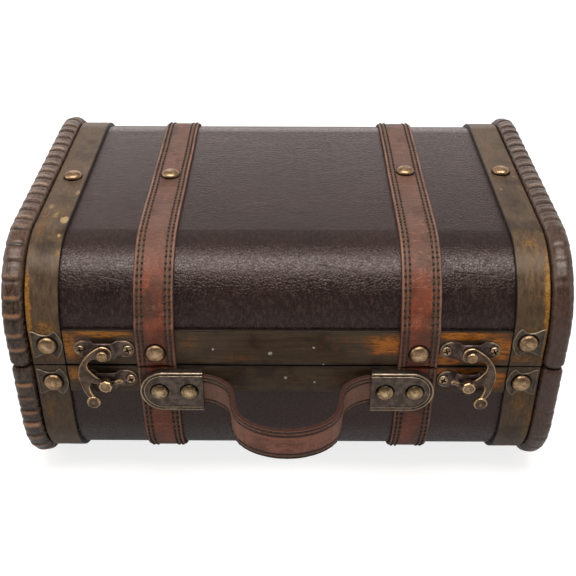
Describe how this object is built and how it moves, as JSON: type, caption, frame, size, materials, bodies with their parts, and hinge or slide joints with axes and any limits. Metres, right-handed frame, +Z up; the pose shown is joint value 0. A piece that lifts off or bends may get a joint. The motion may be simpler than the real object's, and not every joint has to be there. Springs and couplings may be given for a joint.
{
  "type": "wooden suitcase box",
  "caption": "Suitcase-shaped wooden keepsake box with hinged lid, swing-hook latches, leather straps, ribbed edge beads, domed nails and a leather carrying handle.",
  "frame": {"origin": "middle of the whole part's footprint, on the plane it stands on", "axes": "+X to the right along the case, +Y from the handle to the hinges, +Z up"},
  "size_m": [0.3, 0.2646, 0.152],
  "materials": {
    "covering_leather": "semi-gloss dark brown leather cloth with fine grain",
    "strap_leather": "satin reddish brown, stitched edges",
    "bead_leather": "ribbed dark brown edging, rubbed lighter on the ribs",
    "stained_wood": "antique stain, semi-gloss, amber wear",
    "board_wood": "bare board, matt",
    "lining_fabric": "plain matt cloth",
    "nail_brass": "domed, aged and blotchy",
    "aged_bronze": "dark antique plating worn bright on the edges",
    "screw_brass": "aged, satin"
  },
  "bodies": {
    "base": {"base_shell": "board_wood", "base_covering": "covering_leather", "base_left_end_board": "board_wood", "base_right_end_board": "board_wood", "base_lining": "lining_fabric", "base_left_band": "stained_wood", "base_right_band": "stained_wood", "base_left_bead": "bead_leather", "base_right_bead": "bead_leather", "base_front_rail": "stained_wood", "base_back_rail": "stained_wood", "base_left_strap": "strap_leather", "base_right_strap": "strap_leather", "base_band_nails": "nail_brass", "base_strap_nails": "nail_brass", "base_left_corner_plate": "aged_bronze", "base_right_corner_plate": "aged_bronze", "left_catch_plate": "aged_bronze", "right_catch_plate": "aged_bronze", "left_catch_post": "aged_bronze", "right_catch_post": "aged_bronze", "catch_plate_screws": "screw_brass", "handle_strap": "strap_leather", "handle_left_cap": "aged_bronze", "handle_right_cap": "aged_bronze", "handle_rivets": "nail_brass", "base_left_hinge_leaf": "aged_bronze", "base_right_hinge_leaf": "aged_bronze", "left_hinge_pin": "aged_bronze", "right_hinge_pin": "aged_bronze", "base_hinge_screws": "screw_brass"},
    "lid": {"lid_shell": "board_wood", "lid_covering": "covering_leather", "lid_left_end_board": "board_wood", "lid_right_end_board": "board_wood", "lid_lining": "lining_fabric", "lid_left_band": "stained_wood", "lid_right_band": "stained_wood", "lid_left_bead": "bead_leather", "lid_right_bead": "bead_leather", "lid_front_rail": "stained_wood", "lid_back_rail": "stained_wood", "lid_left_strap": "strap_leather", "lid_right_strap": "strap_leather", "lid_band_nails": "nail_brass", "lid_strap_nails": "nail_brass", "lid_left_corner_plate": "aged_bronze", "lid_right_corner_plate": "aged_bronze", "left_hook_plate": "aged_bronze", "right_hook_plate": "aged_bronze", "left_hook_pivot": "aged_bronze", "right_hook_pivot": "aged_bronze", "hook_plate_screws": "screw_brass", "lid_left_hinge_leaf": "aged_bronze", "lid_right_hinge_leaf": "aged_bronze", "lid_hinge_screws": "screw_brass"},
    "left_hook": {"left_hook": "aged_bronze"},
    "right_hook": {"right_hook": "aged_bronze"}
  },
  "joints": [
    {"name": "lid_hinge", "type": "hinge", "parent": "base", "child": "lid", "pos_m": [0, 0.12953, 0.0858], "axis": [-1, 0, 0], "range_deg": [0, 100]},
    {"name": "left_hook_swing", "type": "hinge", "parent": "lid", "child": "left_hook", "pos_m": [-0.098, -0.09388, 0.0972], "axis": [0, 1, 0], "range_deg": [0, 120]},
    {"name": "right_hook_swing", "type": "hinge", "parent": "lid", "child": "right_hook", "pos_m": [0.098, -0.09388, 0.0972], "axis": [0, -1, 0], "range_deg": [0, 120]}
  ]
}
